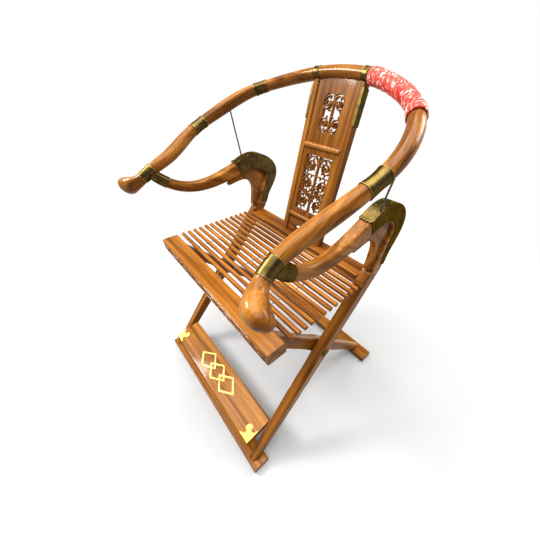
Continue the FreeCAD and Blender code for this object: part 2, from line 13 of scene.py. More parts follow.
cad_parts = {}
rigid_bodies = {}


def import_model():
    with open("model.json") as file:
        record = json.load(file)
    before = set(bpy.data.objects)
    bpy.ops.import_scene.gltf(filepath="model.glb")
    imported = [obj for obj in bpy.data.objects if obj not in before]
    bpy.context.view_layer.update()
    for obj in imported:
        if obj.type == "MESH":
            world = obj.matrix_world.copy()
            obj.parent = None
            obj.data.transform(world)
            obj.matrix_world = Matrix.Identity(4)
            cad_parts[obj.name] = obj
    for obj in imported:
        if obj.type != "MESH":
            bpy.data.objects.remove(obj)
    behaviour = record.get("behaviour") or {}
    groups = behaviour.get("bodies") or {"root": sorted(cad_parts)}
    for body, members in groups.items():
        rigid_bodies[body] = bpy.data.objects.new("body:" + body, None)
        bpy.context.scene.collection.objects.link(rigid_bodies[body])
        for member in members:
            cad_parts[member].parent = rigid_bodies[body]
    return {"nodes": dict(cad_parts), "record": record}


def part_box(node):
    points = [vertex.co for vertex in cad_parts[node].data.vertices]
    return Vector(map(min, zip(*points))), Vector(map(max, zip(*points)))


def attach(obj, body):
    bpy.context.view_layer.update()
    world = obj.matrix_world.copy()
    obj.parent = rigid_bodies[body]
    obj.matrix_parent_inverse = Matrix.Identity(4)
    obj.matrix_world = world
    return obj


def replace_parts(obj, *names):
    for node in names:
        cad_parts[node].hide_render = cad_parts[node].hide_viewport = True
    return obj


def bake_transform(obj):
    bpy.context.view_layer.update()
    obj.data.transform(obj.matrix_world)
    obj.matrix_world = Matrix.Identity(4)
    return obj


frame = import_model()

logging.basicConfig(level=logging.INFO, format="%(name)s: %(message)s")
log = logging.getLogger("chair")

Pair = tuple[float, float]
Triple = tuple[float, float, float]
Colour = Triple
Stops = tuple[tuple[float, Colour], ...]
Socket = bpy.types.NodeSocket
Material = bpy.types.Material
Piece = bpy.types.Object

BACK = "back_frame"
SEAT = "seat_frame"
FOOT = "footrest"
WHITE: Colour = (1.0, 1.0, 1.0)
MERGE = 1e-6


class Cut(Enum):
    """How far the fibres are drawn out along a piece: its noise is squeezed to this share."""

    STRAIGHT = 0.045
    CURVED = 0.10


class NodeSketch:
    """A node tree, drawn one node at a time."""

    def __init__(self, tree: bpy.types.NodeTree) -> None:
        """Keeps the tree that is drawn in."""
        self.tree = tree

    def add(self, kind: str, **settings: object) -> bpy.types.Node:
        """Adds a node and sets its properties, and its sockets where a key is a socket's name.

        Args:
            kind: the node's type.
            settings: property values, or socket values with spaces in their names written as _.

        Returns:
            The new node.
        """
        node = self.tree.nodes.new(kind)
        for key, value in settings.items():
            socket = node.inputs.get(key.replace("_", " "))
            if socket is not None:
                socket.default_value = value
            else:
                setattr(node, key, value)
        return node

    def link(self, source: Socket, target: Socket) -> None:
        """Joins an output to an input."""
        self.tree.links.new(source, target)

    def ramp(self, source: Socket, stops: Stops) -> Socket:
        """Turns a grey value into a colour.

        Args:
            source: the grey output.
            stops: places from 0 to 1 with their colours.

        Returns:
            The colour output.
        """
        node = self.add("ShaderNodeValToRGB")
        elements = node.color_ramp.elements
        while len(elements) < len(stops):
            elements.new(0.5)
        for element, (place, colour) in zip(elements, stops):
            element.position = place
            element.color = (*colour, 1.0)
        self.link(source, node.inputs["Fac"])
        return node.outputs["Color"]

    def spread(self, source: Socket, low: float, high: float, start: float = 0.0, end: float = 1.0) -> Socket:
        """Maps a grey value onto a range.

        Args:
            source: the grey output.
            low: the result at the start.
            high: the result at the end.
            start: the grey value at the start.
            end: the grey value at the end.

        Returns:
            The mapped output.
        """
        node = self.add("ShaderNodeMapRange", From_Min=start, From_Max=end, To_Min=low, To_Max=high)
        self.link(source, node.inputs["Value"])
        return node.outputs["Result"]

    def combine(self, operation: str, first: Socket, second: Socket) -> Socket:
        """Puts two grey values together.

        Args:
            operation: the sum to do.
            first: the first output.
            second: the second output.

        Returns:
            The resulting output.
        """
        node = self.add("ShaderNodeMath", operation=operation)
        self.link(first, node.inputs[0])
        self.link(second, node.inputs[1])
        return node.outputs["Value"]


class MaterialSketch(NodeSketch):
    """A material's node tree, round its Principled shader."""

    def __init__(self, name: str) -> None:
        """Starts a material that holds only a Principled shader and an output.

        Args:
            name: the material's name.
        """
        self.material = bpy.data.materials.new(name)
        self.material.use_nodes = True
        super().__init__(self.material.node_tree)
        self.shader = self.tree.nodes["Principled BSDF"]

    def set(self, **values: object) -> None:
        """Sets constants on the shader's own sockets, named as in add."""
        for key, value in values.items():
            self.shader.inputs[key.replace("_", " ")].default_value = value

    def drive(self, socket: str, source: Socket) -> None:
        """Joins an output to one of the shader's sockets."""
        self.link(source, self.shader.inputs[socket])

    def noise(self, place: Socket, size: float, detail: float, rough: float = 0.5,
              twist: float = 0.0) -> Socket:
        """Adds a cloudy grey texture.

        Args:
            place: the coordinates it is laid on.
            size: how fine it is, in clouds per metre.
            detail: how many finer layers it has.
            rough: how strong these are.
            twist: how far it is swirled.

        Returns:
            The grey output.
        """
        node = self.add("ShaderNodeTexNoise", Scale=size, Detail=detail, Roughness=rough, Distortion=twist)
        self.link(place, node.inputs["Vector"])
        return node.outputs["Fac"]

    def blend(self, first: Socket, second: Socket | Colour, share: Socket | float,
              mode: str = "MIX") -> Socket:
        """Mixes two colours.

        Args:
            first: the lower colour.
            second: the upper colour, as an output or a fixed one.
            share: how much of the upper one shows, as an output or a fixed share.
            mode: the way they blend.

        Returns:
            The mixed colour output.
        """
        node = self.add("ShaderNodeMix", data_type="RGBA", blend_type=mode)
        lower, upper = [socket for socket in node.inputs if socket.type == "RGBA"]
        self.link(first, lower)
        if isinstance(second, tuple):
            upper.default_value = (*second, 1.0)
        else:
            self.link(second, upper)
        if isinstance(share, float):
            node.inputs["Factor"].default_value = share
        else:
            self.link(share, node.inputs["Factor"])
        return next(socket for socket in node.outputs if socket.type == "RGBA")

    def bump(self, height: Socket, strength: float, distance: float) -> None:
        """Lets a grey value stand out of the surface.

        Args:
            height: the grey output.
            strength: how strongly it shows.
            distance: its depth in metres.
        """
        node = self.add("ShaderNodeBump", Strength=strength, Distance=distance)
        self.link(height, node.inputs["Height"])
        self.drive("Normal", node.outputs["Normal"])


@dataclass(frozen=True)
class WoodFinish:
    """Varnished hardwood whose fibres run along one direction."""

    name: str
    way: Triple
    cut: Cut = Cut.STRAIGHT
    dark: Colour = (0.070, 0.021, 0.003)
    middle: Colour = (0.225, 0.096, 0.015)
    light: Colour = (0.370, 0.183, 0.038)
    band_places: Triple = (0.26, 0.46, 0.70)
    band_size: float = 22.0
    fibre_size: float = 150.0
    pores_finer: float = 3.2
    patch_size: float = 3.0
    streaks: Stops = ((0.28, (0.50, 0.40, 0.33)), (0.56, WHITE))
    specks: Stops = ((0.30, (0.35, 0.26, 0.20)), (0.42, WHITE))
    tones: Stops = ((0.32, (0.80, 0.70, 0.62)), (0.68, (1.12, 1.08, 1.0)))
    streak_share: float = 0.60
    speck_share: float = 0.25
    tone_share: float = 0.85
    gloss: Pair = (0.22, 0.38)
    specular: float = 0.10
    polish: float = 0.22
    polish_roughness: float = 0.08

    def material(self) -> Material:
        """Draws the wood's bands, fibres and pores.

        Returns:
            The finished material.
        """
        sketch = MaterialSketch(self.name)
        place = sketch.add("ShaderNodeTexCoord").outputs["Object"]
        turn = Vector(self.way).normalized().rotation_difference(Vector((0, 0, 1))).to_euler()
        lay = sketch.add("ShaderNodeMapping", Rotation=turn)
        squeeze = sketch.add("ShaderNodeMapping", Scale=(1.0, 1.0, self.cut.value))
        sketch.link(place, lay.inputs["Vector"])
        sketch.link(lay.outputs["Vector"], squeeze.inputs["Vector"])
        along = squeeze.outputs["Vector"]

        bands = sketch.noise(along, self.band_size, detail=3.0, rough=0.55, twist=1.6)
        fibres = sketch.noise(along, self.fibre_size, detail=4.0, rough=0.65)
        pores = sketch.noise(along, self.fibre_size * self.pores_finer, detail=2.0)
        patches = sketch.noise(place, self.patch_size, detail=2.0)

        colour = sketch.ramp(bands, tuple(zip(self.band_places, (self.dark, self.middle, self.light))))
        for source, stops, share in ((fibres, self.streaks, self.streak_share),
                                     (pores, self.specks, self.speck_share),
                                     (patches, self.tones, self.tone_share)):
            colour = sketch.blend(colour, sketch.ramp(source, stops), share, "MULTIPLY")
        sketch.drive("Base Color", colour)
        sketch.drive("Roughness", sketch.spread(fibres, *self.gloss))
        sketch.set(Specular_IOR_Level=self.specular, Coat_Weight=self.polish,
                   Coat_Roughness=self.polish_roughness)
        return sketch.material


@dataclass(frozen=True)
class BrassFinish:
    """Aged sheet brass with a soft shine, tarnish and fine scratches."""

    name: str
    bright: Colour = (0.165, 0.120, 0.044)
    aged: Colour = (0.110, 0.079, 0.030)
    tarnish: Colour = (0.052, 0.038, 0.018)
    edge: Colour = (0.52, 0.44, 0.28)
    patch_places: Triple = (0.30, 0.44, 0.66)
    patch_size: float = 38.0
    scratch_size: float = 420.0
    chased_size: float = 165.0
    chased_lines: Stops = ((0.0, (0.30, 0.24, 0.16)), (0.09, WHITE))
    chasing: float = 0.05
    chasing_relief: float = 0.5
    chasing_depth: float = 0.0004
    gloss: Pair = (0.26, 0.52)

    def material(self) -> Material:
        """Draws the metal's patches, scratches and chased marks.

        Returns:
            The finished material.
        """
        sketch = MaterialSketch(self.name)
        place = sketch.add("ShaderNodeTexCoord").outputs["Object"]
        patches = sketch.noise(place, self.patch_size, detail=5.0, rough=0.62, twist=0.5)
        scratches = sketch.noise(place, self.scratch_size, detail=3.0, rough=0.7)
        chased = sketch.add("ShaderNodeTexVoronoi", Scale=self.chased_size, feature="DISTANCE_TO_EDGE")
        sketch.link(place, chased.inputs["Vector"])
        colour = sketch.ramp(patches, tuple(zip(self.patch_places, (self.tarnish, self.aged, self.bright))))
        lines = sketch.ramp(chased.outputs["Distance"], self.chased_lines)
        sketch.drive("Base Color", sketch.blend(colour, lines, self.chasing, "MULTIPLY"))
        sketch.drive("Roughness", sketch.spread(scratches, *self.gloss))
        sketch.set(Metallic=1.0, Specular_Tint=(*self.edge, 1.0))
        sketch.bump(lines, self.chasing * self.chasing_relief, self.chasing_depth)
        return sketch.material


@dataclass(frozen=True)
class SteelFinish:
    """Dark drawn wire with a dull shine."""

    name: str
    light: Colour = (0.22, 0.20, 0.17)
    dark: Colour = (0.05, 0.045, 0.04)
    blotch_places: Pair = (0.32, 0.66)
    blotch_size: float = 90.0
    gloss: Pair = (0.32, 0.55)

    def material(self) -> Material:
        """Draws the wire's blotches.

        Returns:
            The finished material.
        """
        sketch = MaterialSketch(self.name)
        place = sketch.add("ShaderNodeTexCoord").outputs["Object"]
        blotches = sketch.noise(place, self.blotch_size, detail=4.0, rough=0.6)
        colour = sketch.ramp(blotches, tuple(zip(self.blotch_places, (self.dark, self.light))))
        sketch.drive("Base Color", colour)
        sketch.drive("Roughness", sketch.spread(blotches, *self.gloss))
        sketch.set(Metallic=1.0)
        return sketch.material


@dataclass(frozen=True)
class ClothFinish:
    """Red cloth under a creased film, whose pale streaks are painted sheen."""

    name: str
    red: Colour = (0.58, 0.050, 0.024)
    shade: Colour = (0.36, 0.020, 0.010)
    # the pale streaks' colour: painted sheen on the creased film
    film: Colour = (0.88, 0.74, 0.68)
    shade_places: Pair = (0.32, 0.60)
    film_sheen_stops: Stops = ((0.53, (0.0, 0.0, 0.0)), (0.63, WHITE))
    drawn: float = 0.42
    crease_size: float = 70.0
    shade_size: float = 34.0
    gloss: Pair = (0.55, 0.16)
    crease_strength: float = 0.45
    crease_depth: float = 0.0012

    def material(self) -> Material:
        """Draws the shade in the folds and the film's creases, with painted sheen as pale streaks along them.

        Returns:
            The finished material.
        """
        sketch = MaterialSketch(self.name)
        stretch = sketch.add("ShaderNodeMapping", Scale=(1.0, 1.0, self.drawn))
        sketch.link(sketch.add("ShaderNodeTexCoord").outputs["Object"], stretch.inputs["Vector"])
        along = stretch.outputs["Vector"]
        creases = sketch.noise(along, self.crease_size, detail=6.0, rough=0.66, twist=2.4)
        broad = sketch.noise(along, self.shade_size, detail=3.0, rough=0.6)
        cloth = sketch.ramp(broad, tuple(zip(self.shade_places, (self.shade, self.red))))
        # the pale streaks on the film's creases are painted sheen
        shine = sketch.ramp(creases, self.film_sheen_stops)
        sketch.drive("Base Color", sketch.blend(cloth, self.film, shine))
        sketch.drive("Roughness", sketch.spread(shine, *self.gloss))
        sketch.bump(creases, self.crease_strength, self.crease_depth)
        return sketch.material


class Finishes:
    """Every finish of the chair, and which CAD node takes which."""

    across: Triple = (1.0, 0.0, 0.0)
    curved: tuple[str, ...] = ("crest_", "arm_", "neck_bracket")
    mounts: tuple[str, ...] = ("lozenge_mount", "corner_mounts")

    def __init__(self) -> None:
        """Makes each shared material once."""
        self.brass = BrassFinish("aged_brass").material()
        # lighter brass for the sleeve rims, nail heads and rosettes: painted highlight, standing in for the
        # glints these small rounded parts catch
        self.rim = BrassFinish("worn_brass", bright=(0.42, 0.31, 0.11), aged=(0.32, 0.23, 0.075),
                               tarnish=(0.20, 0.14, 0.045)).material()
        self.mount = BrassFinish("mount_brass", bright=(0.30, 0.22, 0.085), aged=(0.24, 0.175, 0.062),
                                 tarnish=(0.17, 0.12, 0.040), chasing=0.0).material()
        self.steel = SteelFinish("dark_wire").material()
        self.cloth = ClothFinish("red_wrap").material()
        self.slat = WoodFinish("slat_wood", self.across, dark=(0.10, 0.034, 0.005),
                               middle=(0.26, 0.110, 0.020), light=(0.42, 0.205, 0.050), band_size=40.0,
                               polish=0.08).material()
        # very dark wood for the ground of the rail's carving: painted shade, standing in for the shadow in
        # its hollows
        self.painted_shade_wood = WoodFinish("carved_ground", self.across, dark=(0.035, 0.010, 0.002),
                                 middle=(0.07, 0.020, 0.003), light=(0.11, 0.034, 0.005)).material()
        self.woods: dict[tuple[float | Cut, ...], Material] = {}

    def wood(self, way: Triple, cut: Cut = Cut.STRAIGHT) -> Material:
        """Gives the frame's wood with its fibres along a direction.

        Args:
            way: the direction of the fibres.
            cut: how far they are drawn out.

        Returns:
            The material, made once for each direction.
        """
        key = (*(round(part, 1) + 0.0 for part in way), cut)
        if key not in self.woods:
            self.woods[key] = WoodFinish("frame_wood_%02d" % len(self.woods), way, cut).material()
        return self.woods[key]

    @staticmethod
    def long_way(node: str) -> Triple:
        """Finds the direction in which a CAD node is longest.

        Args:
            node: the CAD node's name.

        Returns:
            That direction, turned so that its largest part is positive.
        """
        mesh = frame["nodes"][node].data
        places = np.empty(3 * len(mesh.vertices))
        mesh.vertices.foreach_get("co", places)
        places = places.reshape(-1, 3)
        way = np.linalg.eigh(np.cov((places - places.mean(axis=0)).T))[1][:, -1]
        way *= np.sign(way[np.abs(way).argmax()])
        return tuple(float(part) for part in way)

    def of_node(self, node: str, slot: str) -> Material:
        """Picks the material of a CAD node.

        Args:
            node: the CAD node's name.
            slot: its material slot in the record.

        Returns:
            The material.
        """
        if node in self.mounts:
            return self.mount
        plain = {"brass": self.brass, "dark_steel": self.steel, "red_wrap": self.cloth,
                 "slat_wood": self.slat}
        if slot in plain:
            return plain[slot]
        cut = Cut.CURVED if node.startswith(self.curved) else Cut.STRAIGHT
        return self.wood(self.long_way(node), cut)

    def dress_frame(self) -> None:
        """Gives every CAD node its material."""
        slots = {part["node"]: part["material_slot"] for part in frame["record"]["subparts"]}
        for name, node in frame["nodes"].items():
            node.data.materials.clear()
            node.data.materials.append(self.of_node(name, slots[name]))
            log.info("dressed %s as %s", name, slots[name])


class Bench:
    """The modelling moves that the sub-assemblies share."""

    @staticmethod
    def clear() -> None:
        """Leaves edit mode and deselects everything."""
        if bpy.context.mode != "OBJECT":
            bpy.ops.object.mode_set(mode="OBJECT")
        bpy.ops.object.select_all(action="DESELECT")

    @staticmethod
    def take(piece: Piece) -> None:
        """Selects one piece alone and makes it active.

        Args:
            piece: the piece to work on.
        """
        Bench.clear()
        piece.select_set(True)
        bpy.context.view_layer.objects.active = piece

    @staticmethod
    def edit(piece: Piece) -> None:
        """Opens a piece in edit mode with everything selected.

        Args:
            piece: the piece to work on.
        """
        Bench.take(piece)
        bpy.ops.object.mode_set(mode="EDIT")
        bpy.ops.mesh.select_all(action="SELECT")

    @staticmethod
    def joined(pieces: list[Piece]) -> Piece:
        """Joins pieces into one.

        Args:
            pieces: the pieces, all meshes.

        Returns:
            The joined piece.
        """
        Bench.take(pieces[0])
        for piece in pieces[1:]:
            piece.select_set(True)
        bpy.ops.object.join()
        return bpy.context.object

    @staticmethod
    def copied(node: str) -> Piece:
        """Copies a CAD node into a piece that may be worked, with its faces knitted together.

        Args:
            node: the CAD node's name.

        Returns:
            The piece, open in edit mode.
        """
        piece = bpy.data.objects.new("copy", frame["nodes"][node].data.copy())
        bpy.context.scene.collection.objects.link(piece)
        Bench.edit(piece)
        bpy.ops.mesh.remove_doubles(threshold=MERGE)
        return piece

    @staticmethod
    def set_out(pattern: Piece, places: list[Matrix]) -> Piece:
        """Copies a pattern to each place, each copy with its own mesh, and joins the copies.

        Args:
            pattern: the piece, modelled about the origin. It isn't kept.
            places: where the copies go.

        Returns:
            The copies as one piece.
        """
        copies = []
        for place in places:
            copy = pattern.copy()
            copy.data = pattern.data.copy()
            bpy.context.scene.collection.objects.link(copy)
            copy.matrix_world = place
            copies.append(copy)
        bpy.data.objects.remove(pattern)
        return Bench.joined(copies)

    @staticmethod
    def applied(piece: Piece, kind: str, **settings: object) -> None:
        """Gives a piece a modifier and applies it.

        Args:
            piece: the piece.
            kind: the modifier's type.
            settings: the modifier's properties.
        """
        Bench.take(piece)
        change = piece.modifiers.new(kind.lower(), kind)
        for key, value in settings.items():
            setattr(change, key, value)
        bpy.ops.object.modifier_apply(modifier=change.name)

    @staticmethod
    def settle(piece: Piece, name: str, finish: Material, body: str | None, slot: str,
               crease: float = 40.0) -> Piece:
        """Puts a piece's place into its mesh and gives it its name, finish and body.

        Args:
            piece: the modelled piece.
            name: its name.
            finish: its material.
            body: the CAD body that it rides on, or nothing for a piece that rides on no body.
            slot: the record's material slot. Not used.
            crease: edges sharper than this many degrees stay sharp.

        Returns:
            The same piece.
        """
        Bench.take(piece)
        bpy.ops.object.transform_apply(location=True, rotation=True, scale=True)
        bpy.ops.object.shade_smooth_by_angle(angle=math.radians(crease))
        piece.name = name
        piece.data.name = name
        piece.data.materials.clear()
        piece.data.materials.append(finish)
        if body is not None:
            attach(piece, body)
        log.info("made %s with %d faces", name, len(piece.data.polygons))
        return piece

    @staticmethod
    def spun_ring(centre: Vector, axis: Vector, radius: float, bead: float) -> Piece:
        """Spins a small round profile about an axis into a bead.

        Args:
            centre: the ring's middle.
            axis: the direction it is spun about.
            radius: the ring's radius.
            bead: the profile's radius.

        Returns:
            The ring.
        """
        Bench.clear()
        side = axis.orthogonal().normalized()
        turn = Matrix((side, axis, side.cross(axis))).transposed().to_euler()
        place = centre + side * radius
        bpy.ops.mesh.primitive_circle_add(vertices=8, radius=bead, location=place, rotation=turn)
        ring = bpy.context.object
        bpy.ops.object.transform_apply(location=True, rotation=True, scale=True)
        Bench.edit(ring)
        bpy.ops.mesh.spin(steps=40, angle=2 * math.pi, center=centre, axis=axis)
        bpy.ops.mesh.select_all(action="SELECT")
        bpy.ops.mesh.remove_doubles(threshold=MERGE)
        bpy.ops.mesh.normals_make_consistent(inside=False)
        Bench.clear()
        return ring

    @staticmethod
    def nail(radius: float, rise: float = 0.5) -> Piece:
        """Cuts a low dome from a ball for a nail's head.

        Args:
            radius: its radius.
            rise: its height as a share of the radius.

        Returns:
            The nail's head, standing up at the origin.
        """
        Bench.clear()
        bpy.ops.mesh.primitive_uv_sphere_add(segments=14, ring_count=10, radius=radius)
        head = bpy.context.object
        Bench.edit(head)
        bpy.ops.mesh.bisect(plane_co=(0, 0, 0), plane_no=(0, 0, 1), clear_inner=True, use_fill=True)
        bpy.ops.mesh.select_all(action="SELECT")
        bpy.ops.transform.resize(value=(1.0, 1.0, rise))
        Bench.clear()
        return head

    @staticmethod
    def standing(place: Vector, out: Vector) -> Matrix:
        """Returns the place of a piece that stands out from a point."""
        return Matrix.Translation(place) @ out.to_track_quat("Z", "Y").to_matrix().to_4x4()

    @staticmethod
    def straight(start: Vector, end: Vector, parts: int = 4) -> list[Vector]:
        """Returns the points of a straight path, cut into equal parts."""
        return [start.lerp(end, step / parts) for step in range(parts + 1)]

    @staticmethod
    def strand(points: list[Vector], thickness: float, taper: float = 1.0) -> Piece:
        """Draws a round strand along a smooth path and makes it a mesh.

        Args:
            points: the path's control points.
            thickness: the strand's radius at its start.
            taper: its radius at its end, as a share of that at the start.

        Returns:
            The strand.
        """
        Bench.clear()
        bpy.ops.curve.primitive_nurbs_path_add()
        strand = bpy.context.object
        spline = strand.data.splines[0]
        spline.points.add(len(points) - len(spline.points))
        for number, (knot, place) in enumerate(zip(spline.points, points)):
            knot.co = (*place, 1.0)
            knot.radius = 1.0 + (taper - 1.0) * number / (len(points) - 1)
        spline.order_u = 3
        spline.use_endpoint_u = True
        spline.resolution_u = 4
        strand.data.bevel_depth = thickness
        strand.data.bevel_resolution = 2
        strand.data.use_fill_caps = True
        bpy.ops.object.convert(target="MESH")
        return bpy.context.object


@dataclass
class TubeEnd:
    """One flat end of a short brass tube, found in the CAD node's mesh."""

    centre: Vector
    out: Vector
    radius: float

    @staticmethod
    def pair_of(node: str, side: int, flatness: float = 0.9) -> list["TubeEnd"]:
        """Finds both ends of a node's tube on one side of the chair.

        Args:
            node: the CAD node with a left and a right tube.
            side: 1 for the left tube and -1 for the right one.
            flatness: how far a face of an end looks along the tube, at least.

        Returns:
            The tube's two ends.
        """
        mesh = frame["nodes"][node].data
        faces = [face for face in mesh.polygons if face.center.x * side > 0]
        spread = sum(face.area * np.outer(face.normal, face.normal) for face in faces)
        axis = Vector(np.linalg.eigh(spread)[1][:, 0])
        ends = []
        for way in (axis, -axis):
            flat = [face for face in faces if face.normal.dot(way) > flatness]
            total = sum(face.area for face in flat)
            centre = sum((face.center * face.area for face in flat), Vector()) / total
            out = sum((face.normal * face.area for face in flat), Vector()).normalized()
            reach = max((mesh.vertices[index].co - centre).length for face in flat for index in face.vertices)
            ends.append(TubeEnd(centre, out, reach))
        return ends


@dataclass
class BrassRims:
    """Rolled rims at the ends of the rail's brass sleeves, in a lighter brass whose brightness is a painted
    highlight.
    """

    finish: Material
    bead: float = 0.0007
    sleeves: tuple[str, ...] = ("crest_sleeves", "rear_sleeves", "middle_sleeves", "front_sleeves")

    def build(self) -> None:
        """Spins a rim onto each end of each sleeve."""
        for node in self.sleeves:
            rings = []
            for side in (1, -1):
                for end in TubeEnd.pair_of(node, side):
                    centre = end.centre - end.out * self.bead
                    rings.append(Bench.spun_ring(centre, end.out, end.radius, self.bead))
            Bench.settle(Bench.joined(rings), node + "_rims", self.finish, BACK, "brass")


class Surface:
    """A CAD node's skin, on which small pieces are set down."""

    above: float = 3.0

    def __init__(self, node: str) -> None:
        """Reads a node's mesh.

        Args:
            node: the CAD node's name.
        """
        self.mesh = frame["nodes"][node].data
        places = [vertex.co for vertex in self.mesh.vertices]
        self.tree = BVHTree.FromPolygons(places, [face.vertices for face in self.mesh.polygons])

    def under(self, x: float, y: float) -> tuple[Vector, Vector] | None:
        """Drops a point straight down onto the skin.

        Args:
            x: its place across.
            y: its place in depth.

        Returns:
            The point on the skin and the skin's direction there, or nothing where it misses.
        """
        place, out, _, _ = self.tree.ray_cast(Vector((x, y, self.above)), Vector((0, 0, -1)))
        return None if place is None else (place, out if out.z > 0 else -out)

    def seats(self, spots: list[Pair]) -> list[Matrix]:
        """Returns the places of pieces that stand on the skin, without those that miss it."""
        return [Bench.standing(*hit) for hit in (self.under(x, y) for x, y in spots) if hit]


@dataclass
class CasingTrim:
    """Scalloped lip, seam and nails of the brass casing round each crook."""

    finish: Material
    lip: Material
    dark: Material
    top_slope: float = 0.6
    inset: float = 0.0006
    lobes: int = 4
    lobe: float = 0.0052
    lobe_rise: float = 0.2
    lobe_reach: float = 0.94
    nail: float = 0.0019
    nail_reach: float = 0.62
    nail_steps: tuple[float, ...] = (0.012, 0.052, 0.085)
    seam: float = 0.0006
    seam_back: float = 0.034
    seam_reach: float = 0.96
    seam_points: int = 7

    def build(self) -> None:
        """Trims the casing on each side."""
        lobes, heads, paths = [], [], []
        for side in ("left", "right"):
            skin = Surface("neck_casing_" + side)
            low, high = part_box("neck_casing_" + side)
            tops = [skin.mesh.vertices[index].co.y for face in skin.mesh.polygons
                    if face.normal.z > self.top_slope for index in face.vertices]
            front, middle, half = min(tops) + self.inset, (low.x + high.x) / 2, (high.x - low.x) / 2
            shares = [(2 * step + 1 - self.lobes) / self.lobes for step in range(self.lobes)]
            lobes += skin.seats([(middle + half * share * self.lobe_reach, front) for share in shares])
            heads += skin.seats([(middle + share * half, front + back) for back in self.nail_steps
                                 for share in (-self.nail_reach, self.nail_reach)])
            hits = [skin.under(middle + share * half, front + self.seam_back)
                    for share in np.linspace(-self.seam_reach, self.seam_reach, self.seam_points)]
            paths.append([hit[0] for hit in hits if hit])
        lips = Bench.set_out(Bench.nail(self.lobe, self.lobe_rise), lobes)
        Bench.settle(lips, "casing_lips", self.lip, BACK, "brass")
        Bench.settle(Bench.set_out(Bench.nail(self.nail), heads), "casing_nails", self.finish, BACK, "brass")
        seams = Bench.joined([Bench.strand(path, self.seam) for path in paths])
        Bench.settle(seams, "casing_seams", self.dark, BACK, "dark_steel")


@dataclass
class Rosettes:
    """A turned ring on the cap of each pivot pin."""

    finish: Material
    radius: float = 0.0075
    bead: float = 0.0008
    middle_share: float = 0.5

    def build(self) -> None:
        """Spins the ring and a middle bead on each side."""
        low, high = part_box("pivot_pins")
        rings, middles = [], []
        for side in (-1, 1):
            centre = Vector((side * high.x, (low.y + high.y) / 2, (low.z + high.z) / 2))
            out = Vector((side, 0, 0))
            rings.append(Bench.spun_ring(centre, out, self.radius, self.bead))
            middles.append(Bench.standing(centre, out))
        beads = Bench.set_out(Bench.nail(self.radius * self.middle_share), middles)
        Bench.settle(Bench.joined([*rings, beads]), "pivot_rosettes", self.finish, BACK, "brass")


@dataclass
class FootrestNails:
    """Nails that hold the brass on the footrest's board."""

    finish: Material
    radius: float = 0.0017
    mount_reach: float = 0.046
    mount_nails: tuple[Pair, ...] = ((0.14, 0.14), (0.62, 0.62), (0.80, 0.10), (0.10, 0.80))
    lozenge_steps: tuple[float, ...] = (-0.067, 0.0, 0.067)
    lozenge_half: Pair = (0.0479, 0.0302)

    def build(self) -> None:
        """Drives the nails of both corner mounts and of the lozenges."""
        low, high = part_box("corner_mounts")
        corners = [(side * (high.x - inward * self.mount_reach), low.y + back * self.mount_reach)
                   for side in (-1, 1) for inward, back in self.mount_nails]
        low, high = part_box("lozenge_mount")
        middle = (low + high) / 2
        wide, deep = self.lozenge_half
        points = [(middle.x + step + across * wide, middle.y + along * deep) for step in self.lozenge_steps
                  for across, along in ((-1, 0), (1, 0), (0, -1), (0, 1))]
        heads = Surface("corner_mounts").seats(corners) + Surface("lozenge_mount").seats(points)
        nails = Bench.set_out(Bench.nail(self.radius), heads)
        Bench.settle(nails, "footrest_nails", self.finish, FOOT, "brass")


